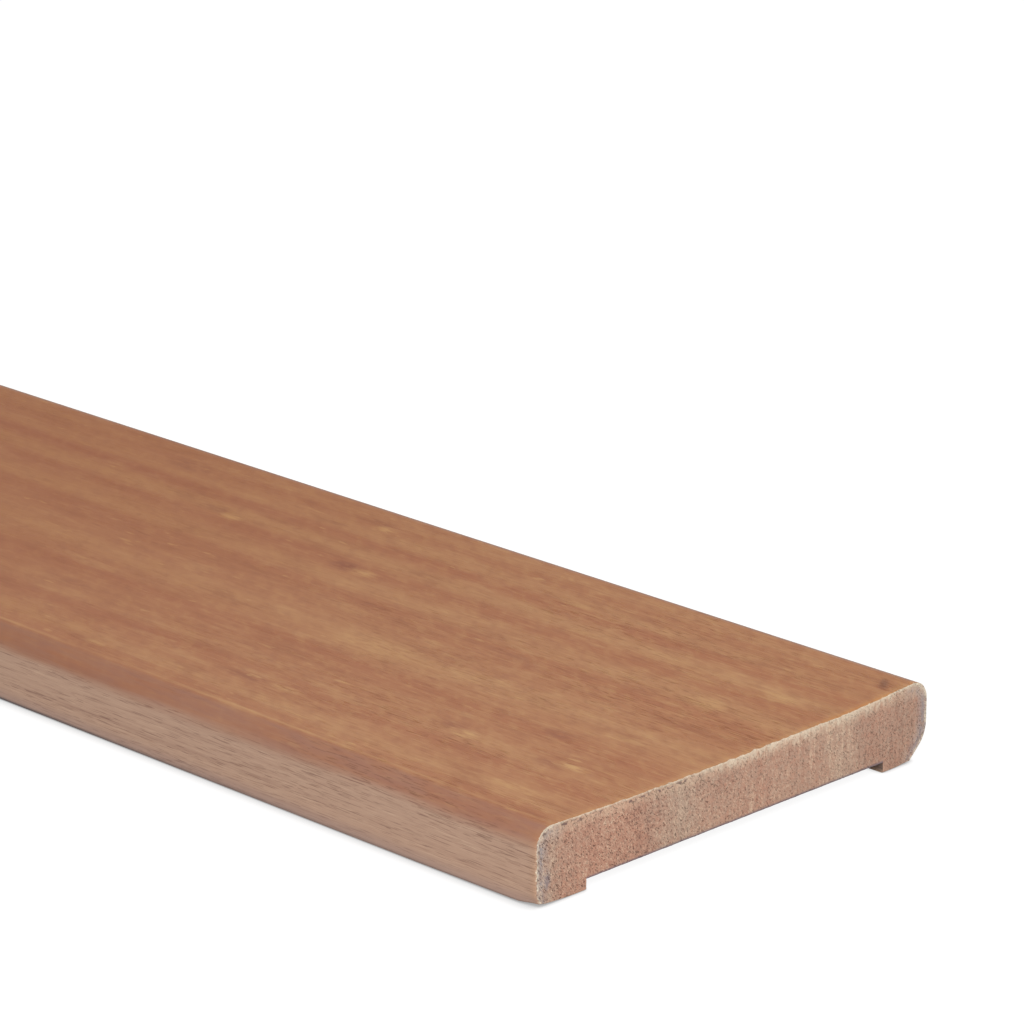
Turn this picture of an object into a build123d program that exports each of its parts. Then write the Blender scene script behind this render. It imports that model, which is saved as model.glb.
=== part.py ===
from build123d import *
from math import pi, tan
import os

# A length of flat hardwood architrave, the trim round a door opening, lying on its back.
# +X runs along the grain to the sawn end, +Y across from the inner edge to the outer edge,
# +Z out of the show face. The origin is on the back, at the middle of the length and width.

# Driving sizes of the stock, in millimetres. The thicknesses are those of its square corners,
# before the arrises are rounded.
stock_length = 2200.0
face_width = 70.0
inner_edge_thickness = 10.0
outer_edge_thickness = 10.6

# The show face is slightly hollow across its width, and both of its long arrises are rounded over
face_hollow = 0.8
face_arris_radius = 2.6

# The back: a shallow recess between two feet, so that the feet alone bear on lining and plaster
inner_foot_width = 8.5
outer_foot_width = 8.2
recess_depth = 1.4

# The inner back arris is only eased, and the outer one is bevelled to clear the plaster
inner_back_arris_radius = 0.4
back_bevel = 3.1
back_bevel_blend_radius = 4.2

# The blend between bevel and outer edge keeps inside the flats on both sides of it
half_bevel_turn = pi / 8
outer_edge_flat = outer_edge_thickness - face_arris_radius - back_bevel
blend_share_of_flat = 0.9
blend_radius = min(
    back_bevel_blend_radius,
    blend_share_of_flat * min(outer_edge_flat, back_bevel) / tan(half_bevel_turn),
)

recess_width = face_width - inner_foot_width - outer_foot_width
recess_centre = (inner_foot_width - outer_foot_width) / 2

with BuildPart() as architrave:
    # The section, drawn across the width and up the thickness
    with BuildSketch(Plane.YZ) as section:
        with BuildLine():
            inner_edge = Line((-face_width / 2, 0), (-face_width / 2, inner_edge_thickness))
            face = SagittaArc(inner_edge @ 1, (face_width / 2, outer_edge_thickness), -face_hollow)
            Polyline(face @ 1, (face_width / 2, 0), inner_edge @ 0)
        make_face()

        columns = section.vertices().group_by(Axis.X)
        face_arrises = [column.sort_by(Axis.Y)[-1] for column in (columns[0], columns[-1])]
        fillet(face_arrises, radius=face_arris_radius)

        outer_back_arris = section.vertices().group_by(Axis.Y)[0].sort_by(Axis.X)[-1]
        chamfer(outer_back_arris, length=back_bevel)

        # Ease the corner where the bevel meets the outer edge
        bevel_top = section.vertices().group_by(Axis.X)[-1].sort_by(Axis.Y)[0]
        fillet(bevel_top, radius=blend_radius)

        inner_back_arris = section.vertices().group_by(Axis.Y)[0].sort_by(Axis.X)[0]
        fillet(inner_back_arris, radius=inner_back_arris_radius)

        # Plough the recess out of the back
        with Locations((recess_centre, 0)):
            Rectangle(
                recess_width,
                recess_depth,
                align=(Align.CENTER, Align.MIN),
                mode=Mode.SUBTRACT,
            )
    extrude(amount=stock_length / 2, both=True)

architrave.part.label = "architrave"

os.makedirs("parts", exist_ok=True)
export_step(architrave.part, "parts/architrave.step")
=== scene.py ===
from functools import cached_property
from math import hypot, pi, radians, sqrt, tan

import bpy
import numpy as np
from mathutils import Matrix, Vector, noise


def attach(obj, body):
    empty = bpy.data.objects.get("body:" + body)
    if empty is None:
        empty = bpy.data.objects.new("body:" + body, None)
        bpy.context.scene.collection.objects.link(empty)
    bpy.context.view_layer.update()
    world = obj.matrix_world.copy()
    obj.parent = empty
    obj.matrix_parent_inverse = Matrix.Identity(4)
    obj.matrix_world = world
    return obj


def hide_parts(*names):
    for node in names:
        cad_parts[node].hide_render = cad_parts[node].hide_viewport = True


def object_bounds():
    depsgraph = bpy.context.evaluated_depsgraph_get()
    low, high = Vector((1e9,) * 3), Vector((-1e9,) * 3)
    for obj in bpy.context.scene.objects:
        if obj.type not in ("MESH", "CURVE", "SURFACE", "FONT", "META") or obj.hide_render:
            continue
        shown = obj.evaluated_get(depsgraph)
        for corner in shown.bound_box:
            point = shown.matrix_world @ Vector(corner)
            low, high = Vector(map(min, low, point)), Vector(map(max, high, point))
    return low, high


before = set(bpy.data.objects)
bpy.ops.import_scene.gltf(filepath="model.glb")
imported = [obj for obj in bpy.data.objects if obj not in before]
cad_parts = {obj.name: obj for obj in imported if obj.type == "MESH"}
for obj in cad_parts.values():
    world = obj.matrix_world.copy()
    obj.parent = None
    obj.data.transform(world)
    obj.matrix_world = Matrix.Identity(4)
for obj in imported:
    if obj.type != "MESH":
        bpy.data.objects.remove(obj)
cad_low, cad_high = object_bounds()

bl_info = {
    "name": "Hardwood architrave",
    "version": (1, 0, 0),
    "blender": (4, 5, 0),
    "location": "View3D > Sidebar > Architrave",
    "description": "Makes a length of lacquered hardwood architrave on a white studio floor",
    "category": "Object",
}

# The length lies on its back: +X along the grain to the sawn end in view, +Y across from the
# inner edge to the outer edge, +Z out of the show face. Lengths are in metres.
MM = 0.001


# Settings that a user would change

def measure(name, description, metres, least=0.0):
    """Returns a length property, kept in metres and shown in the scene's unit."""
    return bpy.props.FloatProperty(
        name=name, description=description, default=metres, min=least, precision=4, subtype="DISTANCE"
    )


class ArchitraveSizes(bpy.types.PropertyGroup):
    """The section and the length of the architrave."""

    length: measure("Length", "Length along the grain", cad_high.x - cad_low.x, least=0.3)
    width: measure(
        "Width", "Width from edge to edge", cad_high.y - cad_low.y, least=0.05
    )
    inner_thickness: measure(
        "Inner thickness", "Thickness at the inner edge, without its arris", 10.0 * MM
    )
    outer_thickness: measure(
        "Outer thickness", "Thickness at the outer edge, without its arris", 10.6 * MM
    )
    hollow: measure(
        "Hollow", "Depth of the face's hollow at its middle", 0.8 * MM,
        least=0.1 * MM,
    )
    face_arris: measure("Face arris", "Radius along both edges of the show face", 2.6 * MM)
    inner_foot: measure("Inner foot", "Width of the foot beside the inner edge", 8.5 * MM)
    outer_foot: measure("Outer foot", "Width of the foot beside the outer edge", 8.2 * MM)
    recess: measure("Recess", "Depth of the recess along the back", 1.4 * MM)
    back_arris: measure("Back arris", "Radius of the eased inner back arris", 0.4 * MM)
    bevel: measure("Bevel", "Leg of the bevel along the outer back arris", 3.1 * MM)
    bevel_blend: measure("Bevel blend", "Radius that eases the bevel into the outer edge", 4.2 * MM)


def swatch(name, description, colour):
    """Returns a colour property, shown as a swatch."""
    return bpy.props.FloatVectorProperty(
        name=name, description=description, default=colour, min=0.0, max=1.0, subtype="COLOR"
    )


class ArchitraveFinish(bpy.types.PropertyGroup):
    """The colours of the lacquered wood, the sawn ends and the bare back."""

    red_ribbon: swatch("Red ribbon", "Reddish ribbons of the grain", (0.411, 0.143, 0.058))
    yellow_ribbon: swatch("Yellow ribbon", "Yellowish ribbons", (0.522, 0.256, 0.112))
    deep_streak: swatch("Deep streak", "Dark red streaks and spots", (0.305, 0.100, 0.044))
    pale_fleck: swatch("Pale fleck", "Pale yellow flecks", (0.636, 0.362, 0.150))
    # Painted highlight: a brighter band on the face beside the saw cut
    painted_cut_highlight: swatch("Cut glow", "Brighter lacquer beside the saw cut", (0.66, 0.335, 0.140))
    pore: swatch("Pore", "Open pores in the lacquered wood", (0.17, 0.07, 0.04))
    arris_red: swatch("Arris red", "The face's rounded arrises", (0.352, 0.182, 0.136))
    edge: swatch("Edge", "Upright edges of the stock", (0.530, 0.341, 0.243))
    edge_dark: swatch("Edge grain", "Darker grain of the edges", (0.33, 0.185, 0.135))
    edge_foot: swatch("Edge foot", "Greyer foot of the edges", (0.40, 0.275, 0.235))
    # Painted shade: a dark line where the edges turn under to the floor
    painted_underside_shade: swatch("Turned under", "Line where the edges turn under", (0.085, 0.070, 0.075))
    # Darkens the outer arris towards its edge
    darker_outer_arris: swatch("Handled arris", "Outer arris greyed by handling", (0.22, 0.13, 0.105))
    # Painted shade: darkens and reddens the face away from its ends
    painted_deep_shade: swatch("Deep tint", "Tint of the face away from its ends", (0.87, 0.70, 0.47))
    end_pink: swatch("End pink", "Pinkish zones of the sawn end", (0.532, 0.277, 0.191))
    end_grey: swatch("End grey", "Greyer zones of the sawn end", (0.505, 0.352, 0.262))
    end_pore: swatch("End pore", "Pores in the sawn end", (0.19, 0.095, 0.07))
    end_pale: swatch("End pale", "Pale fibres of the sawn end", (0.86, 0.64, 0.45))
    frayed: swatch("Frayed", "Torn fibres at the rim of the saw cut", (0.88, 0.76, 0.58))
    end_rim: swatch("End rim", "Grey band inside the edges of the sawn end", (0.40, 0.355, 0.355))
    end_line: swatch("End line", "Darker line in the grey band", (0.28, 0.26, 0.28))
    end_stain: swatch("End stain", "Stain near the cut's inner edge", (0.20, 0.19, 0.23))
    end_row: swatch("End row", "Pores close under the face", (0.12, 0.07, 0.075))
    # Painted shade: a dark line on the lip over the recess
    painted_lip_shade: swatch("Lip dust", "Dust on the recess lip", (0.15, 0.13, 0.17))
    bare: swatch("Bare back", "Unfinished wood of the back", (0.36, 0.235, 0.16))
    # Painted shade in the recess, darkest on its side walls
    painted_shade: swatch("Dust", "Dust in the recess", (0.085, 0.062, 0.058))


class ArchitraveStage(bpy.types.PropertyGroup):
    """The floor, the light and the camera."""

    floor_colour: swatch("Floor", "Colour of the studio floor", (0.86, 0.86, 0.86))
    sky_strength: bpy.props.FloatProperty(
        name="Sky strength",
        description="Strength of the even light from all round",
        default=0.50, min=0.0,
    )
    softbox_power: bpy.props.FloatProperty(
        name="Softbox power",
        description="Power of the soft lamp above the sawn end",
        default=1.9, min=0.0, subtype="POWER", unit="POWER",
    )
    lens: bpy.props.FloatProperty(
        name="Lens",
        description="Focal length of the camera, for a sensor 36 mm wide",
        default=168.496, unit="CAMERA", precision=3,
    )


# The section

class Section:
    """The architrave's section: the heights of its back and its face across the width."""

    def __init__(self, sizes):
        self.sizes = sizes
        self.half = sizes.width / 2
        rise = sizes.outer_thickness - sizes.inner_thickness
        chord = hypot(sizes.width, rise)
        # The hollow face is an arc whose centre is far above the stock
        self.hollow_radius = (chord**2 / 4 + sizes.hollow**2) / (2 * sizes.hollow)
        to_centre = self.hollow_radius - sizes.hollow
        self.hollow_y = -rise / chord * to_centre
        middle_height = (sizes.inner_thickness + sizes.outer_thickness) / 2
        self.hollow_z = middle_height + sizes.width / chord * to_centre
        self.inner_arris_z = self.arris_centre_height(-self.half + sizes.face_arris)
        self.outer_arris_z = self.arris_centre_height(self.half - sizes.face_arris)
        self.blend_z = sizes.bevel + sizes.bevel_blend * tan(pi / 8)
        self.inner_wall = -self.half + sizes.inner_foot
        self.outer_wall = self.half - sizes.outer_foot

    def arris_centre_height(self, y):
        """Height of the centre of an arris arc that touches the hollow face and an edge."""
        reach = self.hollow_radius + self.sizes.face_arris
        return self.hollow_z - sqrt(reach**2 - (y - self.hollow_y) ** 2)

    def arris_end(self, y):
        """Where an arris arc centred at this y runs out into the hollow face."""
        share = self.hollow_radius / (self.hollow_radius + self.sizes.face_arris)
        return self.hollow_y + (y - self.hollow_y) * share

    def face_height(self, y):
        """Height of the show face, its rounded arrises included."""
        radius = self.sizes.face_arris
        inner_y = -self.half + radius
        outer_y = self.half - radius
        if y < self.arris_end(inner_y):
            return self.inner_arris_z + sqrt(max(radius**2 - (inner_y - y) ** 2, 0.0))
        if y > self.arris_end(outer_y):
            return self.outer_arris_z + sqrt(max(radius**2 - (y - outer_y) ** 2, 0.0))
        return self.hollow_z - sqrt(self.hollow_radius**2 - (y - self.hollow_y) ** 2)

    def foot_height(self, y):
        """Height of the underside of the feet, with the eased arris and the bevel."""
        eased = self.sizes.back_arris
        from_inner = y + self.half
        if from_inner < eased:
            return eased - sqrt(max(eased**2 - (eased - from_inner) ** 2, 0.0))
        radius = self.sizes.bevel_blend
        blend_y = self.half - radius
        blend_foot = blend_y + radius * sqrt(0.5)
        if y > blend_foot:
            return self.blend_z - sqrt(max(radius**2 - (y - blend_y) ** 2, 0.0))
        return max(y - (self.half - self.sizes.bevel), 0.0)

    def columns(self, spacing):
        """Places across the width where the section gets a column of vertices."""
        sizes = self.sizes
        closest = 0.008 * MM
        turns = np.radians(np.arange(0, 91, 5))
        inner_y = -self.half + sizes.face_arris
        outer_y = self.half - sizes.face_arris
        blend_foot = self.half - sizes.bevel_blend * (1 - sqrt(0.5))
        rounded = [
            inner_y - sizes.face_arris * np.cos(turns),
            outer_y + sizes.face_arris * np.cos(turns),
            -self.half + sizes.back_arris * (1 - np.cos(turns)),
        ]
        corners = sorted([
            self.arris_end(inner_y),
            self.inner_wall,
            self.outer_wall,
            self.half - sizes.bevel,
            self.arris_end(outer_y),
            blend_foot,
        ])
        fills = []
        stops = [inner_y, *corners, outer_y]
        for start, end in zip(sorted(stops), sorted(stops)[1:]):
            steps = max(int(round((end - start) / spacing)), 1)
            fills.append(np.linspace(start, end, steps + 1))
        every = np.sort(np.concatenate([*rounded, corners, *fills]))
        kept = [every[0]]
        for y in every[1:]:
            if y - kept[-1] > closest:
                kept.append(y)
        kept[-1] = self.half
        kept = np.array(kept)
        for corner in corners:
            kept[np.argmin(abs(kept - corner))] = corner
        return kept


# The mesh

COLUMN_SPACING = 0.24 * MM
LEVEL_SPACING = 0.21 * MM
# How much closer together the levels are towards the face
LEVEL_CROWDING = 1.35


def smooth(value):
    """Eases a share from 0 to 1, and holds it outside that."""
    share = np.clip(value, 0.0, 1.0)
    return share * share * (3 - 2 * share)


def section_noise(flat, across, up, seed):
    """Samples Blender's noise over the section, with features of these sizes across and up it."""
    scaled = flat / (across, up) + seed
    return np.array([noise.noise(Vector((seed, *point))) for point in scaled])


def section_grid(section):
    """The section's grid: its points, their numbers by column and level, its quads, its walls.

    Each column has levels from the back up to the face. Those below the recess floor are
    left out between the recess walls.
    """
    sizes = section.sizes
    columns = section.columns(COLUMN_SPACING)
    low_levels = int(round(sizes.recess / LEVEL_SPACING))
    rise = np.linspace(0, 1, int(round(sizes.inner_thickness / LEVEL_SPACING)))
    high_levels = 1 - (1 - rise) ** LEVEL_CROWDING
    inner_wall = int(np.argmin(abs(columns - section.inner_wall)))
    outer_wall = int(np.argmin(abs(columns - section.outer_wall)))
    numbers = -np.ones((len(columns), low_levels + len(high_levels)), int)
    points = []
    for column, y in enumerate(columns):
        face = section.face_height(y)
        foot = section.foot_height(y)
        split = max(sizes.recess, foot + 0.12 * (face - foot))
        low_heights = np.linspace(foot, split, low_levels + 1)[:-1]
        high_heights = split + high_levels * (face - split)
        for level, z in enumerate([*low_heights, *high_heights]):
            if level < low_levels and inner_wall < column < outer_wall:
                continue
            numbers[column, level] = len(points)
            points.append((y, z))
    quads = []
    around = ((0, 0), (1, 0), (1, 1), (0, 1))
    for column in range(len(columns) - 1):
        for level in range(numbers.shape[1] - 1):
            corners = tuple(numbers[column + right, level + up] for right, up in around)
            if min(corners) >= 0:
                quads.append(corners)
    return np.array(points), numbers, quads, (inner_wall, outer_wall, low_levels)


def outline_numbers(numbers, walls):
    """The grid's outer points in order, counter-clockwise as seen from the sawn end."""
    inner_wall, outer_wall, low = walls
    return np.concatenate([
        numbers[:inner_wall + 1, 0],
        numbers[inner_wall, 1:low + 1],
        numbers[inner_wall + 1:outer_wall + 1, low],
        numbers[outer_wall, low - 1::-1],
        numbers[outer_wall + 1:, 0],
        numbers[-1, 1:],
        numbers[-2::-1, -1],
        numbers[0, -2:0:-1],
    ])


def worn_points(section, flat, from_end, side):
    """Points of the section at a distance from one end, as saw, handling and torn fibres left them.

    flat holds the (y, z) of the points. Side is 1 for the sawn end in view and -1 for the far
    end, which gets other noise.
    """
    sizes = section.sizes
    y, z = flat[:, 0].copy(), flat[:, 1].copy()
    reach = sizes.length / 2 - from_end
    from_end = np.full(len(flat), from_end)
    face = np.array([section.face_height(value) for value in y])
    foot = np.array([section.foot_height(value) for value in y])
    below_face = face - z
    seed = 11.0 if side > 0 else 47.0

    # Fibres torn along the top of the cut, most of them over the middle and outer half
    torn_share = 0.35 + 0.65 * smooth((y + 8 * MM) / (12 * MM)) * smooth((32 * MM - y) / (6 * MM))
    coarse = section_noise(flat, 1.1 * MM, 2.5 * MM, seed)
    fine = section_noise(flat, 0.35 * MM, 0.9 * MM, seed + 5)
    chips = (0.05 + 0.20 * np.clip(coarse + 0.2, 0, 1) + 0.10 * np.clip(fine, 0, 1)) * MM
    chips = chips * torn_share * np.exp(-below_face / (0.5 * MM)) * np.exp(-from_end / (0.8 * MM))

    # The saw leaves the cut itself slightly rough
    at_end = from_end < 0.01 * MM
    pits = section_noise(flat, 0.42 * MM, 0.55 * MM, seed + 9)
    speckle = section_noise(flat, 0.23 * MM, 0.23 * MM, seed + 15)
    waves = section_noise(flat, 2.2 * MM, 30 * MM, seed + 21)
    rough = (0.045 + 0.05 * speckle + 0.05 * waves + 0.16 * np.clip(pits - 0.15, 0, 1)) * MM
    inwards = chips + np.clip(rough, 0, 1) * at_end

    # Handling rounds the rim of the cut a little. Along the face it is torn down near the outer
    # edge, and burrs stand up elsewhere.
    fall = 0.4 * MM
    near_cut = np.clip(1 - from_end / (0.35 * MM), 0, 1) ** 1.5
    torn_down = smooth((y - 12 * MM) / (6 * MM)) * smooth((30 * MM - y) / (5 * MM))
    burr = np.clip(coarse + 0.1, 0, 1) * smooth((27 * MM - abs(y)) / (5 * MM)) * (1 - torn_down)
    lift = (0.16 * burr - 0.17 * torn_down - 0.02) * MM
    z += lift * near_cut * np.exp(-below_face / fall)
    eased = 0.20 * MM * near_cut
    z += 0.5 * eased * np.exp(-(z - foot) / fall)
    y += eased * np.exp(-(y + section.half) / fall)
    y -= 0.25 * eased * np.exp(-(section.half - y) / fall)

    # The bottom corner by the inner edge is knocked, and both feet are worn towards the edges
    low_share = smooth(1 - z / (2.4 * MM))
    from_inner = flat[:, 0] + section.half
    knock = smooth(1 - from_end / (4 * MM)) * smooth(1 - from_inner / (6 * MM))
    inner_wear = smooth(1 - from_end / (25 * MM)) * smooth(1 - from_inner / (7 * MM))
    bevel_corner = section.half - sizes.bevel
    from_bevel = abs(flat[:, 0] - bevel_corner)
    outer_wear = smooth(1 - from_end / (25 * MM)) * smooth(1 - from_bevel / (3.2 * MM))
    z += (0.14 * knock + 0.12 * inner_wear + 0.17 * outer_wear) * low_share * MM
    # The corner itself is rounded off too
    from_corner = np.hypot(from_inner, flat[:, 1])
    dubbed = smooth(1 - from_corner / (1.8 * MM)) * smooth(1 - from_end / (3.5 * MM))
    y += 0.46 * dubbed * MM
    z += 0.14 * dubbed * MM
    return np.column_stack([side * (reach - inwards), y, z])


def along_stations(length):
    """Places along the length for rings of vertices, close together at both ends."""
    near = np.array([0.07, 0.15, 0.25, 0.45, 0.8, 1.3, 2, 3, 4.5, 7, 10, 14, 20, 28, 40, 60, 90]) * MM
    middle = np.linspace(near[-1], length - near[-1], 29)[1:-1]
    return np.concatenate([near, middle, length - near[::-1]])


def build_architrave_mesh(sizes):
    """Makes the closed mesh of the length, with its two sawn ends."""
    section = Section(sizes)
    points, numbers, quads, walls = section_grid(section)
    ring = outline_numbers(numbers, walls)
    stations = along_stations(sizes.length)
    outline = points[ring]
    count = len(points)

    blocks = [worn_points(section, points, 0.0, side) for side in (1, -1)]
    for station in stations:
        side = 1 if station < sizes.length / 2 else -1
        from_end = min(station, sizes.length - station)
        blocks.append(worn_points(section, outline, from_end, side))
    vertices = np.concatenate(blocks)
    # The imported part's arcs are flat facets, so points above its box are lowered to its top
    vertices[:, 2] = np.clip(vertices[:, 2], 0.0, cad_high.z)

    # The rings from the sawn end in view to the far end
    rings = [ring]
    for place in range(len(stations)):
        rings.append(2 * count + place * len(ring) + np.arange(len(ring)))
    rings.append(ring + count)

    faces = [tuple(quad) for quad in quads]
    faces += [tuple(corner + count for corner in reversed(quad)) for quad in quads]
    cap_faces = len(faces)
    for front, back in zip(rings, rings[1:]):
        faces += zip(back, np.roll(back, -1), np.roll(front, -1), front)

    mesh = bpy.data.meshes.new("architrave_length")
    mesh.from_pydata(vertices.tolist(), [], faces)

    # Material numbers: 0 lacquered face and edges, 1 sawn ends, 2 bare back
    on_back = is_back(section, outline)
    numbers_by_face = [1] * cap_faces + [2 if back else 0 for back in on_back] * (len(rings) - 1)
    mesh.polygons.foreach_set("material_index", numbers_by_face)
    mesh.polygons.foreach_set("use_smooth", [True] * len(faces))
    mesh.set_sharp_from_angle(angle=radians(38))

    # How deep each point lies inside the lacquered outline, for the rim of the saw cuts
    finished = outline[~on_back]
    depth = np.array([np.sqrt(((finished - point) ** 2).sum(1).min()) for point in points])
    depths = np.concatenate([depth, depth, np.zeros(len(ring) * len(stations))])
    attribute = mesh.attributes.new("rim_depth", "FLOAT", "POINT")
    attribute.data.foreach_set("value", depths.astype(np.float32))
    mesh.validate()
    mesh.update()
    return mesh


def is_back(section, outline):
    """For each side of the outline, whether it belongs to the bare back."""
    slack = 0.01 * MM
    y, z = ((outline + np.roll(outline, -1, axis=0)) / 2).T
    between_walls = (y > section.inner_wall - slack) & (y < section.outer_wall + slack)
    return (z < slack) | (between_walls & (z < section.sizes.recess + slack))


# Material nodes

class NodeBoard:
    """Adds and links the nodes of one material or world."""

    def __init__(self, tree):
        self.tree = tree
        tree.nodes.clear()

    def add(self, kind, inputs=None, **settings):
        """Adds a node, sets its options and feeds its inputs with values or other sockets."""
        node = self.tree.nodes.new(kind)
        for option, value in settings.items():
            setattr(node, option, value)
        for socket, value in (inputs or {}).items():
            self.feed(node.inputs[socket], value)
        return node

    def feed(self, socket, value):
        """Links a socket to another one, or sets its value."""
        if isinstance(value, bpy.types.NodeSocket):
            self.tree.links.new(value, socket)
        else:
            socket.default_value = value

    def math(self, operation, first, second=0.0, clamp=False):
        """Does one sum with numbers or sockets."""
        node = self.add("ShaderNodeMath", {0: first, 1: second}, operation=operation, use_clamp=clamp)
        return node.outputs[0]

    def eased(self, value):
        """The value, or its ease where a tuple gives the arguments of one."""
        return self.ease(*value) if isinstance(value, tuple) else value

    def product(self, *factors):
        """Multiplies numbers, sockets and eases, which are given as tuples."""
        result = self.eased(factors[0])
        for factor in factors[1:]:
            result = self.math("MULTIPLY", result, self.eased(factor))
        return result

    def stray(self, value, texture, reach, clamp=False):
        """The value, moved by a texture of 0 to 1 up to half the reach either way."""
        offset = self.product(self.math("SUBTRACT", texture, 0.5), reach)
        return self.math("ADD", value, offset, clamp=clamp)

    def relief(self, *parts):
        """Adds up the textures of a bump, each given with its height in millimetres."""
        height = self.product(*parts[0])
        for part in parts[1:]:
            height = self.math("ADD", height, self.product(*part))
        return height

    def blend(self, share, first, second, mode="MIX"):
        """Mixes two colours by a share from 0 to 1."""
        node = self.add("ShaderNodeMix", {0: share}, data_type="RGBA", blend_type=mode)
        for socket, colour in ((node.inputs[6], first), (node.inputs[7], second)):
            if not isinstance(colour, bpy.types.NodeSocket):
                colour = (*colour, 1.0)
            self.feed(socket, colour)
        return node.outputs[2]

    def glaze(self, colour, *coats):
        """Lays (share, colour) coats over a colour, where a share may be the tuple of an ease."""
        for share, coat in coats:
            colour = self.blend(self.eased(share), colour, coat)
        return colour

    def ease(self, value, start, end, low=0.0, high=1.0):
        """Eases smoothly from low to high while the value goes from start to end."""
        inputs = {0: value, 1: start, 2: end, 3: low, 4: high}
        return self.add("ShaderNodeMapRange", inputs, interpolation_type="SMOOTHSTEP").outputs[0]

    def band(self, value, centre, half_width):
        """1 at the centre, easing to 0 at half a width away on both sides."""
        away = self.math("ABSOLUTE", self.math("SUBTRACT", value, centre))
        return self.ease(away, half_width, 0.0)

    def stripes(self, value, span, plan):
        """Reads a plan of (place, shade) across the span as one soft run of shades."""
        share = self.math("DIVIDE", value, span)
        ramp = self.add("ShaderNodeValToRGB", {0: share})
        ramp.color_ramp.interpolation = "EASE"
        elements = ramp.color_ramp.elements
        while len(elements) < len(plan):
            elements.new(1.0)
        for element, (place, shade) in zip(elements, plan):
            element.position = place / span
            element.color = (shade, shade, shade, 1.0)
        return ramp.outputs[0]


# Noises on a saw cut hardly change along the length, in millimetres
CUT_RUN = 40.0


class WoodBoard(NodeBoard):
    """The node board of a wood material, which knows the place on the stock in millimetres."""

    def __init__(self, tree, sizes):
        super().__init__(tree)
        self.half_length = sizes.length / 2 / MM
        self.width = sizes.width / MM
        self.thickness = sizes.inner_thickness / MM
        coordinates = self.add("ShaderNodeTexCoord").outputs["Object"]
        to_inner_edge = {0: coordinates, 1: (0.0, -cad_low.y, 0.0)}
        shifted = self.add("ShaderNodeVectorMath", to_inner_edge, operation="ADD").outputs[0]
        to_millimetres = {0: shifted, "Scale": 1 / MM}
        self.point = self.add("ShaderNodeVectorMath", to_millimetres, operation="SCALE").outputs[0]
        # Along the length from its middle, across from the inner edge, and up from the feet
        self.x, self.y, self.z = self.add("ShaderNodeSeparateXYZ", {0: self.point}).outputs

    @cached_property
    def from_end(self):
        """Distance from the nearer end."""
        return self.math("SUBTRACT", self.half_length, self.math("ABSOLUTE", self.x))

    @cached_property
    def from_middle(self):
        """Distance across from the middle of the width."""
        return self.math("ABSOLUTE", self.math("SUBTRACT", self.y, self.width / 2))

    def grain(self, stretch, detail, seed, roughness=0.5, point=None):
        """Noise whose features are about as long as the stretch in each direction."""
        scale = tuple(1 / size for size in stretch)
        shift = (seed, seed * 0.7, seed * 1.3)
        mapping = self.add("ShaderNodeMapping", {0: point or self.point, 3: scale, 1: shift})
        inputs = {"Vector": mapping.outputs[0], "Scale": 1.0, "Detail": detail, "Roughness": roughness}
        return self.add("ShaderNodeTexNoise", inputs).outputs[0]

    def cut_grain(self, across, up, detail, seed, roughness=0.5, point=None):
        """Noise over a saw cut, with features of these sizes across and up it."""
        return self.grain((CUT_RUN, across, up), detail, seed, roughness, point)

    def turned(self, axis, angle, centre=(0, 0, 0)):
        """The place on the stock, turned about an axis through the centre."""
        inputs = {"Vector": self.point, "Center": centre, "Axis": axis, "Angle": angle}
        return self.add("ShaderNodeVectorRotate", inputs).outputs[0]

    def spot(self, centre, radii, point=None):
        """1 at the centre of a soft oval spot, easing to 0 at its rim."""
        result = point or self.point
        inverse = tuple(1 / radius for radius in radii)
        for operation, other in (("SUBTRACT", centre), ("MULTIPLY", inverse)):
            result = self.add("ShaderNodeVectorMath", {0: result, 1: other}, operation=operation)
            result = result.outputs[0]
        away = self.add("ShaderNodeVectorMath", {0: result}, operation="LENGTH").outputs["Value"]
        return self.ease(away, 1.0, 0.15)

    def surface(self, colour, roughness, height, specular):
        """Adds the shader, its bump from a height in millimetres, and the material output."""
        bump = self.add("ShaderNodeBump", {"Strength": 1.0, "Distance": MM, "Height": height})
        inputs = {
            "Base Color": colour,
            "Roughness": roughness,
            "Normal": bump.outputs[0],
            "Specular IOR Level": specular,
        }
        shader = self.add("ShaderNodeBsdfPrincipled", inputs)
        self.add("ShaderNodeOutputMaterial", {0: shader.outputs[0]})


def start_wood(name, sizes):
    """Returns a wood material and its node board."""
    material = bpy.data.materials.new(name)
    material.use_nodes = True
    return material, WoodBoard(material.node_tree, sizes)


# Ribbons across the face, as (millimetres from the inner edge, 0 red-brown to 1 yellow-brown)
RIBBONS = (
    (0, 0.4), (4.3, 0.4), (6.6, 0.78), (9.5, 0.52), (12.8, 0.18), (16.5, 0.5), (20.5, 0.38),
    (24.4, 0.18), (26.4, 0.5), (31.5, 0.8), (35, 0.5), (38.6, 0.34), (41.4, 0.22), (45, 0.78),
    (50.2, 0.2), (53.6, 0.9), (57.3, 0.14), (59.6, 0.7), (63.2, 0.4), (65, 0.62), (70, 0.36),
)

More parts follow.
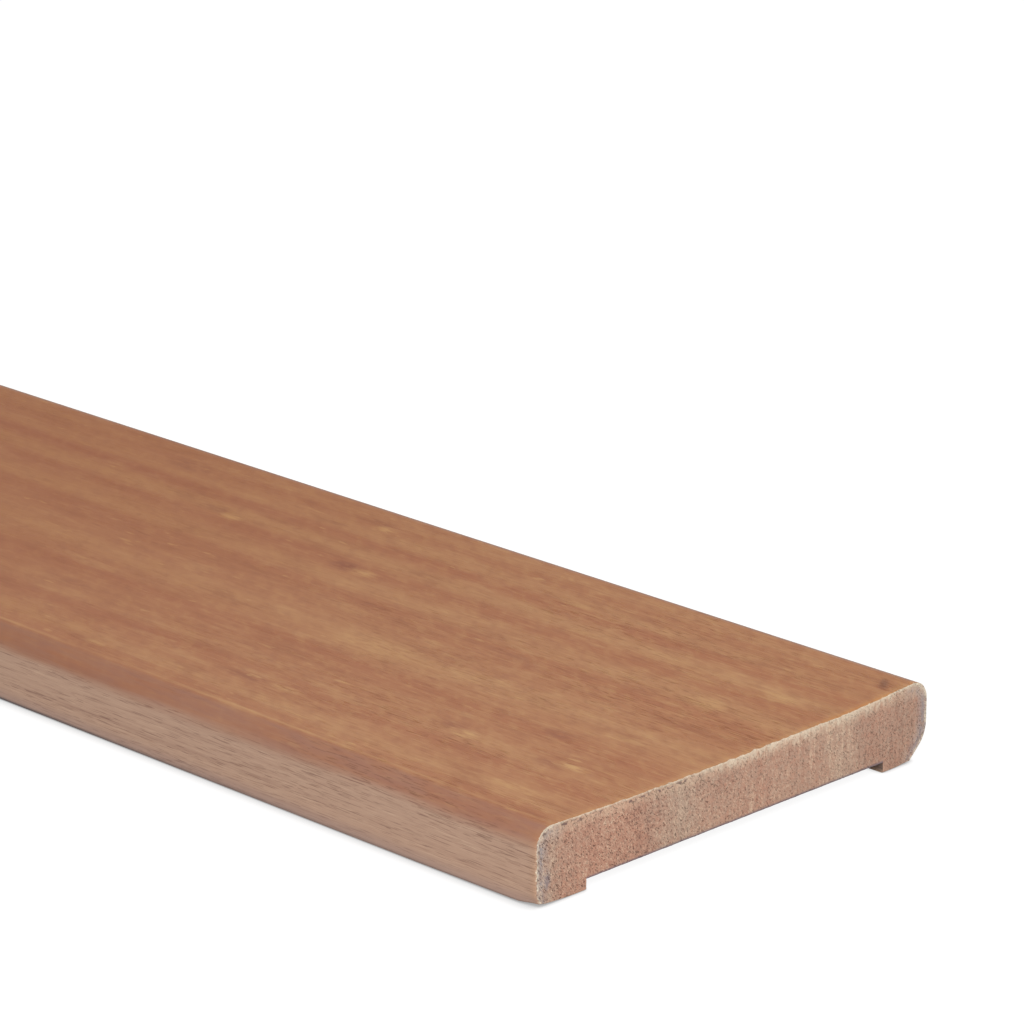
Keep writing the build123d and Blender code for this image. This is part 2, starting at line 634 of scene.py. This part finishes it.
# Pale flecks and dark red spots near the sawn end, as (distance from the end, distance from the
# inner edge, half length, half width, strength), in millimetres
PALE_FLECKS = (
    (58, 30.5, 10, 3.6, 0.4), (80, 48.7, 2.6, 1.3, 0.75), (109.7, 52, 2.4, 1.2, 0.75),
    (89.9, 62.3, 2.2, 1.1, 0.7), (28.5, 16.8, 2.2, 1.4, 0.85), (11.5, 18, 2.8, 1.2, 0.85),
    (55, 11.6, 3.2, 0.9, 0.6), (33, 21.5, 2.4, 0.9, 0.4), (15, 45.2, 3.4, 1.8, 0.5),
    (9, 52.6, 3.6, 1.6, 0.45), (84, 5.6, 2.4, 0.9, 0.6), (12, 8.2, 6, 1.2, 0.5),
    (51, 59.2, 3.5, 0.8, 0.45), (13, 29.5, 3.6, 0.8, 0.45), (42, 52.4, 5, 0.8, 0.35),
)
RED_SPOTS = (
    (83.5, 49.2, 3.4, 1.6, 0.9), (32, 17.6, 3.4, 1.6, 0.6), (62, 11.2, 5, 1.2, 0.7),
    (14.5, 16.9, 3.4, 1.4, 0.5), (20.5, 24.8, 3.2, 1.6, 0.7), (38.5, 39.2, 2.6, 0.9, 0.4),
    (44, 40.6, 5, 1, 0.5), (92, 63.8, 3, 1.2, 0.5), (113.7, 52.8, 3.4, 1.2, 0.5),
    (70, 41, 4, 0.9, 0.3), (104, 19, 5, 1.6, 0.3), (85.5, 5.4, 2.2, 1, 0.4),
    (130, 62.5, 5, 2.2, 0.45),
)
# Their soft rims reach this much further, and they go this deep into the wood
MARK_SPREAD = 1.3
MARK_DEPTH = 6

# The pin knot's distances from the end and the inner edge, its half length and half width, in
# millimetres, and how far it is turned from the grain
PIN_KNOT = (2.8, 64.8, 2.4, 0.85)
PIN_KNOT_TURN = radians(-54)


def two_toned(board, finish, colour, texture, dark, pale, fade):
    """Darkens the colour where a texture is high and pales it where the texture is low.

    dark and pale give where each sets in, where it is full, and its share there.
    """
    for (start, full, share), tint in ((dark, finish.deep_streak), (pale, finish.pale_fleck)):
        amount = board.product((texture, start, full, 0, share), fade)
        colour = board.blend(amount, colour, tint)
    return colour


def face_figure(board, finish):
    """Ribbons, cloudy figure and streaks of the face: the colour, the cloud and the streak."""
    # Ribbons that wander a little along the length
    wander = board.grain((150, 26, 26), 2, 3.1)
    plan = board.stripes(board.stray(board.y, wander, 3), board.width, RIBBONS)
    drift = board.grain((38, 2.4, 2.4), 3, 8.7)
    ribbons = board.stray(plan, drift, 0.55, clamp=True)
    colour = board.blend(ribbons, finish.red_ribbon, finish.yellow_ribbon)

    # A soft cloudy figure, a mottle aslant of the grain, then fine streaks along it
    softer = board.ease(board.from_end, 170, 40, 0.55, 1)
    cloud = board.grain((11, 2.8, 2.8), 4, 21.4, 0.6)
    colour = two_toned(board, finish, colour, cloud, (0.5, 0.75, 0.45), (0.48, 0.25, 0.38), softer)
    aslant = board.turned((0, 0, 1), radians(38))
    mottle = board.grain((3.2, 1.5, 1.5), 1, 55.5, point=aslant)
    colour = two_toned(board, finish, colour, mottle, (0.5, 0.75, 0.22), (0.5, 0.25, 0.18), softer)
    crisp = board.ease(board.from_end, 120, 15, 0.4, 1)
    streak = board.grain((5, 0.42, 0.42), 3, 5.3, 0.65)
    colour = two_toned(board, finish, colour, streak, (0.5, 0.8, 0.38), (0.5, 0.22, 0.42), crisp)
    return colour, cloud, streak


def face_marks(board, finish, colour):
    """Flecks and spots of the figure near the sawn end, and looser ones all along."""
    ragged = board.ease(board.grain((2, 0.5, 0.5), 2, 40.2), 0.25, 0.6)
    for marks, tint in ((RED_SPOTS, finish.deep_streak), (PALE_FLECKS, finish.pale_fleck)):
        for from_sawn, across, half_long, half_wide, strength in marks:
            centre = (board.half_length - from_sawn, across, board.thickness)
            radii = (half_long * MARK_SPREAD, half_wide * MARK_SPREAD, MARK_DEPTH)
            spot = board.spot(centre, radii)
            colour = board.blend(board.product(spot, ragged, strength), colour, tint)
    fleck = board.grain((5, 1.3, 1.3), 2, 61.8)
    return board.glaze(
        colour,
        ((fleck, 0.66, 0.78, 0, 0.5), finish.pale_fleck),
        ((fleck, 0.3, 0.2, 0, 0.4), finish.deep_streak),
    )


def arris_finish(board, finish, sizes, colour):
    """Duller rounded arrises, with a broken pale line where they run out into the face."""
    cloud = board.grain((7, 0.9, 0.9), 3, 14, 0.6)
    rounded = board.product((board.from_middle, 32.2, 33.4), (cloud, 0.25, 0.7, 0.5, 0.78))
    breaks = board.grain((14, 2, 2), 2, 27)
    broken = board.product((breaks, 0.35, 0.6, 0.1, 0.5), (board.from_end, 0, 70, 0.35, 1))
    line = board.product(board.band(board.y, board.width / 2 - 32.15, 0.5), broken)
    # The outer arris is darker towards its edge
    outer_arris = (sizes.width - sizes.face_arris) / MM + 0.1
    darker_outer_arris = board.ease(board.y, outer_arris, board.width - 1.5, 0, 0.55)
    return board.glaze(
        colour, (rounded, finish.arris_red), (line, finish.pale_fleck), (darker_outer_arris, finish.darker_outer_arris)
    )


def edge_finish(board, finish, sizes, colour):
    """Paler upright edges with long soft bands, fine dark dashes, grey at the foot, and painted shade
    where they turn under.
    """
    bands = board.grain((60, 3, 0.9), 3, 37, 0.6)
    streak = board.grain((7, 2, 0.15), 3, 33, 0.7)
    dash = board.grain((3.4, 1, 0.11), 1, 52)
    pores = board.product((dash, 0.6, 0.68), (bands, 0.35, 0.6, 0.25, 0.65))
    # Painted shade along the foot of the edges, where they turn under
    painted_underside_shade = board.product((board.z, 0.7, 0.22), (board.from_end, 35, 110, 0.35, 0.92))
    edge_colour = board.glaze(
        finish.edge,
        ((bands, 0.45, 0.75, 0, 0.45), finish.edge_dark),
        ((streak, 0.52, 0.8, 0, 0.8), finish.edge_dark),
        ((streak, 0.46, 0.25, 0, 0.35), finish.end_pale),
        (pores, finish.end_pore),
        ((board.z, 2.2, 0.3, 0, 0.65), finish.edge_foot),
        (painted_underside_shade, finish.painted_underside_shade),
    )
    # The paler colour sets in where the arris ends, at a line that wavers
    higher = board.ease(board.from_end, 15, 80, 0, 0.45)
    waver = board.stray(higher, board.grain((26, 2, 2), 3, 44), 2)
    arris_foot = (sizes.inner_thickness - sizes.face_arris) / MM + 0.5
    to_edge = board.ease(board.math("ADD", board.z, waver), arris_foot + 1.1, arris_foot - 1.1)
    return board.blend(to_edge, colour, edge_colour)


def pin_knot(board, finish, colour):
    """A pin knot in a soft halo, close to the outer corner of the sawn end."""
    from_sawn, across, half_long, half_wide = PIN_KNOT
    centre = (board.half_length - from_sawn, across, board.thickness)
    turned = board.turned((0, 0, 1), -PIN_KNOT_TURN, centre)
    halo = board.spot(centre, (half_long * 1.5, half_wide * 2.2, MARK_DEPTH), turned)
    core = board.spot(centre, (half_long, half_wide, MARK_DEPTH), turned)
    return board.glaze(
        colour,
        (board.product(halo, 0.4), finish.deep_streak),
        (board.product(core, 0.55), finish.pore),
    )


def cut_rim(board, finish, colour):
    """A painted highlight in a ragged band beside the saw cuts, splintered pale at the rim."""
    ragged = board.grain((1.4, 0.5, 0.5), 3, 9, 0.6)
    # Painted highlight in a ragged band beside the cut
    glow = board.product(
        (board.stray(board.from_end, ragged, 1.6), 1.5, 0, 0, 0.42), (board.y, 1, 9, 0.3, 1)
    )
    splinters = board.ease(board.stray(board.from_end, ragged, 0.9), 0.12, -0.06, 0, 0.8)
    return board.glaze(colour, (glow, finish.painted_cut_highlight), (splinters, finish.frayed))


def lacquered_material(finish, sizes):
    """The show face, its arrises and the upright edges, under satin lacquer."""
    material, board = start_wood("lacquered_hardwood_face", sizes)
    colour, cloud, streak = face_figure(board, finish)
    colour = face_marks(board, finish, colour)
    colour = arris_finish(board, finish, sizes, colour)

    # Painted shade: away from the ends the face is darker and redder
    depth = board.grain((180, 40, 40), 2, 90)
    deep = board.product(
        (board.from_end, 20, 160),
        (depth, 0.2, 0.7, 0.86, 1),
        (board.from_middle, 31, 33.5, 1, 0.55),
    )
    colour = board.blend(deep, colour, finish.painted_deep_shade, "MULTIPLY")
    colour = edge_finish(board, finish, sizes, colour)

    # Open pores, short dashes along the grain, in patches
    dash = board.grain((2.6, 0.12, 0.12), 1, 2.2)
    patch = board.grain((30, 6, 6), 2, 17)
    pores = board.product(
        (dash, 0.6, 0.68), (patch, 0.35, 0.65, 0.15, 0.9), (board.from_end, 110, 10, 0.35, 1)
    )
    colour = board.blend(board.product(pores, 0.43), colour, finish.pore)
    colour = pin_knot(board, finish, colour)
    colour = cut_rim(board, finish, colour)

    flow = board.grain((2.6, 1.7, 1.7), 2, 71)
    height = board.relief((pores, -0.03), (streak, 0.012), (flow, 0.01))
    roughness = board.math("ADD", 0.36, board.product(cloud, 0.1))
    roughness = board.math("ADD", roughness, board.product(pores, 0.25))
    board.surface(colour, roughness, height, 0.1)
    return material


# Zones across the sawn end, as (millimetres from the inner edge, 0 pink to 1 grey)
END_ZONES = (
    (0, 0.9), (2, 0.7), (4.5, 0.35), (10, 0.05), (16, 0.12), (20, 0.5), (24.5, 0.9), (30, 0.5),
    (39, 0.38), (47, 0.45), (54.5, 0.75), (58.5, 0.45), (64, 0.5), (70, 0.6),
)
# Lightness across it, as (millimetres from the inner edge, 0 dark to 1 light)
END_SHADES = (
    (0, 0.55), (2, 0.5), (5, 0.47), (12, 0.62), (19, 0.43), (25, 0.64), (31, 0.54), (37, 0.62),
    (45, 0.58), (54, 0.76), (59, 0.43), (65, 0.37), (70, 0.48),
)
# A dark grey stain near the inner edge of the cut, as (distance from the inner edge, height,
# half width, half height), in millimetres
END_STAIN = (1.95, 3.1, 0.75, 1.7)


def end_zones(board, finish, strayed):
    """Pink and grey zones across the cut, cloudy and finely speckled."""
    zone = board.stripes(strayed, board.width, END_ZONES)
    zone = board.stray(zone, board.cut_grain(1.6, 2.4, 3, 12, 0.6), 0.9)
    zone = board.stray(zone, board.cut_grain(0.4, 0.4, 2, 19, 0.6), 1.5, clamp=True)
    return board.blend(zone, finish.end_pink, finish.end_grey)


def end_sides(board, finish, colour, rim, near_edge):
    """A patchy grey band inside both edges of the cut with a darker line in it, and the stain."""
    cloud = board.cut_grain(0.45, 0.9, 3, 77, 0.65)
    grey_band = board.product((rim, 2.6, 0.6), near_edge, (cloud, 0.3, 0.65, 0.2, 0.75))
    line = board.product(board.band(rim, 0.85, 0.35), near_edge, (cloud, 0.35, 0.6, 0.1, 0.45))
    across, up, half_wide, half_high = END_STAIN
    stain = board.spot((board.half_length, across, up), (CUT_RUN, half_wide, half_high))
    stain = board.product(stain, (cloud, 0.25, 0.55, 0.3, 0.75))
    return board.glaze(
        colour, (grey_band, finish.end_rim), (line, finish.end_line), (stain, finish.end_stain)
    )


def end_fray(board, finish, colour, rim, speckle):
    """Paler wood under the face, frayed along the rim, most of all over the outer half."""
    by_face = board.ease(board.z, 7.6, 8.8)
    paler = board.product((rim, 2.6, 0.3, 0, 0.3), by_face)
    fray_noise = board.cut_grain(0.55, 1.5, 4, 66, 0.7)
    outer_half = board.product((board.y, 27, 34, 0.2, 1), (board.y, 66, 58, 0.4, 1))
    fray_depth = board.product((fray_noise, 0.32, 0.7, 0.15, 2), outer_half)
    fray = board.product(
        (board.math("DIVIDE", rim, fray_depth), 1.5, 0, 0, 0.64),
        by_face,
        (speckle, 0.3, 0.6, 0.55, 1),
    )
    return board.glaze(colour, (paler, finish.end_pale), (fray, finish.frayed))


def end_rim_marks(board, finish, colour, rim, near_edge):
    """Open pores in a row close under the face, and a broken pale line of splinters all round."""
    row_noise = board.cut_grain(0.52, 0.4, 0, 95)
    inner_top = board.product((board.y, 30, 26), (board.z, 8.2, 9))
    row = board.product(board.band(rim, 0.5, 0.4), (row_noise, 0.55, 0.64, 0, 0.75), inner_top)
    breaks = board.cut_grain(0.4, 0.4, 2, 83, 0.7)
    reach = board.ease(near_edge, 0, 1, 0.32, 0.6)
    splinters = board.product(
        (board.math("DIVIDE", rim, reach), 1, 0.25),
        (breaks, 0.42, 0.62, 0, 0.85),
        board.math("MAXIMUM", near_edge, board.ease(board.y, 26, 34, 0.45, 0.85)),
    )
    return board.glaze(colour, (row, finish.end_row), (splinters, finish.frayed))


def recess_lip(board, sizes):
    """The share of painted shade on the lip over the recess, between its walls."""
    past_inner_foot = board.math("GREATER_THAN", board.y, sizes.inner_foot / MM)
    before_outer_foot = board.math("LESS_THAN", board.y, (sizes.width - sizes.outer_foot) / MM)
    over_recess = board.product(past_inner_foot, before_outer_foot)
    recess_top = sizes.recess / MM
    return board.product((board.z, recess_top + 0.42, recess_top, 0, 0.8), over_recess)


def sawn_end_material(finish, sizes):
    """The bare end grain at both saw cuts."""
    material, board = start_wood("sawn_end_grain", sizes)
    rim = board.add("ShaderNodeAttribute", attribute_name="rim_depth").outputs["Fac"]
    rim = board.math("DIVIDE", rim, MM)
    near_edge = board.ease(board.from_middle, 29.5, 33.2)
    strayed = board.stray(board.y, board.cut_grain(6, 4, 2, 3), 3)
    colour = end_zones(board, finish, strayed)
    colour = end_sides(board, finish, colour, rim, near_edge)

    # Light and dark across the cut, with rays up it, and combed upright by the saw further out
    shade = board.stripes(strayed, board.width, END_SHADES)
    rays = board.cut_grain(0.55, 5, 3, 24, 0.6)
    shade = board.stray(shade, rays, 1.15)
    combed = board.cut_grain(0.24, 1.8, 3, 68, 0.6)
    shade = board.stray(shade, combed, board.ease(board.y, 30, 50, 0.3, 0.9))
    # Cut fibres and pores lie aslant, as the saw dragged them
    slant = board.turned((1, 0, 0), radians(52))
    speckle = board.cut_grain(0.38, 0.17, 3, 30, 0.75, slant)
    shade = board.stray(shade, speckle, board.ease(board.y, 8, 60, 3.7, 2.3))
    pores = board.ease(board.cut_grain(0.3, 0.15, 1, 51, point=slant), 0.62, 0.72)
    colour = board.glaze(
        colour,
        ((shade, 0.5, -0.3, 0, 0.75), finish.end_pore),
        ((shade, 0.54, 1.4, 0, 0.72), finish.end_pale),
        (board.product(pores, (board.y, 8, 50, 0.75, 0.25)), finish.end_pore),
    )
    colour = end_fray(board, finish, colour, rim, speckle)
    colour = end_rim_marks(board, finish, colour, rim, near_edge)
    # Painted shade on the lip over the recess
    colour = board.blend(recess_lip(board, sizes), colour, finish.painted_lip_shade)
    height = board.relief((pores, -0.12), (speckle, 0.1), (rays, 0.09))
    board.surface(colour, 0.82, height, 0.25)
    return material


# Distance between the cutter marks that the moulder left across the back, in millimetres
CUTTER_PITCH = 1.6


def bare_back_material(finish, sizes):
    """The back as it leaves the moulder, with no lacquer."""
    material, board = start_wood("bare_hardwood_back", sizes)
    ribbons = board.grain((120, 4, 4), 3, 5)
    streak = board.grain((14, 0.35, 0.35), 3, 9, 0.6)
    pores = board.ease(board.grain((1.8, 0.12, 0.12), 1, 12), 0.6, 0.68)
    # Painted shade darkens the recess, which the feet keep off the wall, and its side walls most of
    # all
    painted_shade = board.product(
        (board.z, 0.05, 0.6), (streak, 0.2, 0.7, 0.75, 0.55), (board.z, 1.25, 1.38, 1, 0.45)
    )
    colour = board.glaze(
        finish.bare,
        ((ribbons, 0.3, 0.7), finish.end_grey),
        ((streak, 0.5, 0.8, 0, 0.6), finish.edge_dark),
        (board.product(pores, 0.7), finish.end_pore),
        (painted_shade, finish.painted_shade),
    )
    cutter = board.math("SINE", board.product(board.x, 2 * pi / CUTTER_PITCH))
    height = board.relief((cutter, 0.006), (pores, -0.05), (streak, 0.03))
    board.surface(colour, 0.78, height, 0.3)
    return material


# The floor, which lies just under the feet. Its contact shadow reaches further beside the long
# edges than in the recess, whose top is close above it.
FLOOR_REACH = 8.0
FLOOR_DROP = 0.02 * MM
FLOOR_GLOW = 0.90
FLOOR_SHADOWED = (0.20, 0.20, 0.20, 1.0)
CONTACT_SHADE = 0.40
RECESS_CONTACT = 1.1 * MM
EDGE_CONTACT = 2.6 * MM

# The lamp and the camera, in metres and radians
SOFTBOX_SIZE = 0.35
SOFTBOX_PLACE = Vector((1.42, -0.26, 0.40))
SOFTBOX_AIM = Vector((1.08, 0.0, 0.0))
SENSOR_WIDTH = 36.0
CLIP_START = 0.01
CAMERA_PLACE = Vector((1.457011, -0.402235, 0.218297))
CAMERA_BEARING = radians(44.5317)
CAMERA_TILT = radians(71.6617)
CAMERA_ROLL = radians(0.3684)


# Operators

class AddArchitrave(bpy.types.Operator):
    """Add the length of lacquered architrave with its sawn ends"""

    bl_idname = "architrave.add_length"
    bl_label = "Add Architrave Length"
    bl_options = {"REGISTER", "UNDO"}

    def execute(self, context):
        sizes = context.scene.architrave_sizes
        finish = context.scene.architrave_finish
        length = bpy.data.objects.new("architrave_length", build_architrave_mesh(sizes))
        context.scene.collection.objects.link(length)
        for make in (lacquered_material, sawn_end_material, bare_back_material):
            length.data.materials.append(make(finish, sizes))
        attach(length, "root")
        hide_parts("architrave")
        return {"FINISHED"}


class AddStage(bpy.types.Operator):
    """Add the white floor, the soft light and the camera"""

    bl_idname = "architrave.add_stage"
    bl_label = "Add Floor, Light and Camera"
    bl_options = {"REGISTER", "UNDO"}

    def execute(self, context):
        stage = context.scene.architrave_stage
        self.add_floor(context, stage)
        self.add_sky(context, stage)
        self.add_softbox(context, stage)
        self.add_camera(context, stage)
        return {"FINISHED"}

    def add_floor(self, context, stage):
        """A wide floor, just under the feet, that looks white to the camera."""
        signs = ((-1, -1), (1, -1), (1, 1), (-1, 1))
        corners = [(x * FLOOR_REACH, y * FLOOR_REACH, -FLOOR_DROP) for x, y in signs]
        mesh = bpy.data.meshes.new("studio_floor")
        mesh.from_pydata(corners, [], [(0, 1, 2, 3)])
        mesh.materials.append(self.floor_material(stage))
        floor = bpy.data.objects.new("studio_floor", mesh)
        context.scene.collection.objects.link(floor)

    def floor_material(self, stage):
        """Nearly white to the camera, but for shadows, and the plain floor colour to other light."""
        material = bpy.data.materials.new("studio_floor")
        material.use_nodes = True
        board = NodeBoard(material.node_tree)
        coordinates = board.add("ShaderNodeTexCoord").outputs["Object"]
        across = board.add("ShaderNodeSeparateXYZ", {0: coordinates}).outputs["Y"]
        away = board.math("ABSOLUTE", across)
        inside, outside = cad_high.y - 0.5 * MM, cad_high.y + 0.1 * MM
        reach = board.ease(away, inside, outside, RECESS_CONTACT, EDGE_CONTACT)
        contact = board.add("ShaderNodeAmbientOcclusion", {"Distance": reach}).outputs["AO"]
        contact = board.ease(contact, 0.0, 1.0, CONTACT_SHADE, 1.0)
        strength = board.product(contact, FLOOR_GLOW)
        glow = board.add("ShaderNodeEmission", {"Strength": strength}).outputs[0]
        shadowed = board.add("ShaderNodeBsdfDiffuse", {"Color": FLOOR_SHADOWED}).outputs[0]
        white = board.add("ShaderNodeAddShader", {0: glow, 1: shadowed}).outputs[0]
        plain = board.add("ShaderNodeBsdfDiffuse", {"Color": (*stage.floor_colour, 1.0)}).outputs[0]
        seen = self.seen_share(board)
        shader = board.add("ShaderNodeMixShader", {0: seen, 1: plain, 2: white})
        board.add("ShaderNodeOutputMaterial", {0: shader.outputs[0]})
        return material

    def seen_share(self, board):
        """1 for a ray from the camera, a reflection or through glass, and 0 for other light."""
        path = board.add("ShaderNodeLightPath").outputs
        seen = board.math("ADD", path["Is Camera Ray"], path["Is Glossy Ray"])
        return board.math("ADD", seen, path["Is Transmission Ray"], clamp=True)

    def add_sky(self, context, stage):
        """Even light from all round, which looks white where it shows."""
        world = bpy.data.worlds.new("studio_sky")
        world.use_nodes = True
        context.scene.world = world
        board = NodeBoard(world.node_tree)
        seen = self.seen_share(board)
        lit = board.product(board.math("SUBTRACT", 1.0, seen), stage.sky_strength)
        strength = board.math("ADD", lit, seen)
        background = board.add(
            "ShaderNodeBackground", {"Color": (1.0, 1.0, 1.0, 1.0), "Strength": strength}
        )
        board.add("ShaderNodeOutputWorld", {0: background.outputs[0]})

    def add_softbox(self, context, stage):
        """A large lamp above and in front of the sawn end."""
        lamp = bpy.data.lights.new("softbox", "AREA")
        lamp.shape = "SQUARE"
        lamp.size = SOFTBOX_SIZE
        lamp.energy = stage.softbox_power
        softbox = bpy.data.objects.new("softbox", lamp)
        facing = (SOFTBOX_AIM - SOFTBOX_PLACE).to_track_quat("-Z", "Y").to_matrix().to_4x4()
        softbox.matrix_world = Matrix.Translation(SOFTBOX_PLACE) @ facing
        context.scene.collection.objects.link(softbox)

    def add_camera(self, context, stage):
        """A long lens from the front corner of the sawn end, low over the floor."""
        lens = bpy.data.cameras.new("camera")
        lens.sensor_width = SENSOR_WIDTH
        lens.lens = stage.lens
        lens.clip_start = CLIP_START
        camera = bpy.data.objects.new("camera", lens)
        turn = Matrix.Rotation(CAMERA_BEARING, 4, "Z") @ Matrix.Rotation(CAMERA_TILT, 4, "X")
        turn = turn @ Matrix.Rotation(CAMERA_ROLL, 4, "Z")
        camera.matrix_world = Matrix.Translation(CAMERA_PLACE) @ turn
        context.scene.collection.objects.link(camera)
        context.scene.camera = camera
        context.scene.view_settings.view_transform = "Standard"


class ArchitravePanel(bpy.types.Panel):
    """Lists the architrave's sizes, finish and stage with their buttons"""

    bl_idname = "VIEW3D_PT_architrave"
    bl_label = "Architrave"
    bl_space_type = "VIEW_3D"
    bl_region_type = "UI"
    bl_category = "Architrave"

    def draw(self, context):
        scene = context.scene
        parts = (
            (AddArchitrave.bl_idname, scene.architrave_sizes),
            (None, scene.architrave_finish),
            (AddStage.bl_idname, scene.architrave_stage),
        )
        for operator, group in parts:
            box = self.layout.box()
            for name in group.__annotations__:
                box.prop(group, name)
            if operator:
                box.operator(operator)


SETTINGS = {
    "architrave_sizes": ArchitraveSizes,
    "architrave_finish": ArchitraveFinish,
    "architrave_stage": ArchitraveStage,
}
CLASSES = (*SETTINGS.values(), AddArchitrave, AddStage, ArchitravePanel)


def register():
    for cls in CLASSES:
        bpy.utils.register_class(cls)
    for name, group in SETTINGS.items():
        setattr(bpy.types.Scene, name, bpy.props.PointerProperty(type=group))


def unregister():
    for name in SETTINGS:
        delattr(bpy.types.Scene, name)
    for cls in reversed(CLASSES):
        bpy.utils.unregister_class(cls)


def main():
    register()
    bpy.ops.architrave.add_length()
    bpy.ops.architrave.add_stage()


if __name__ == "__main__":
    main()
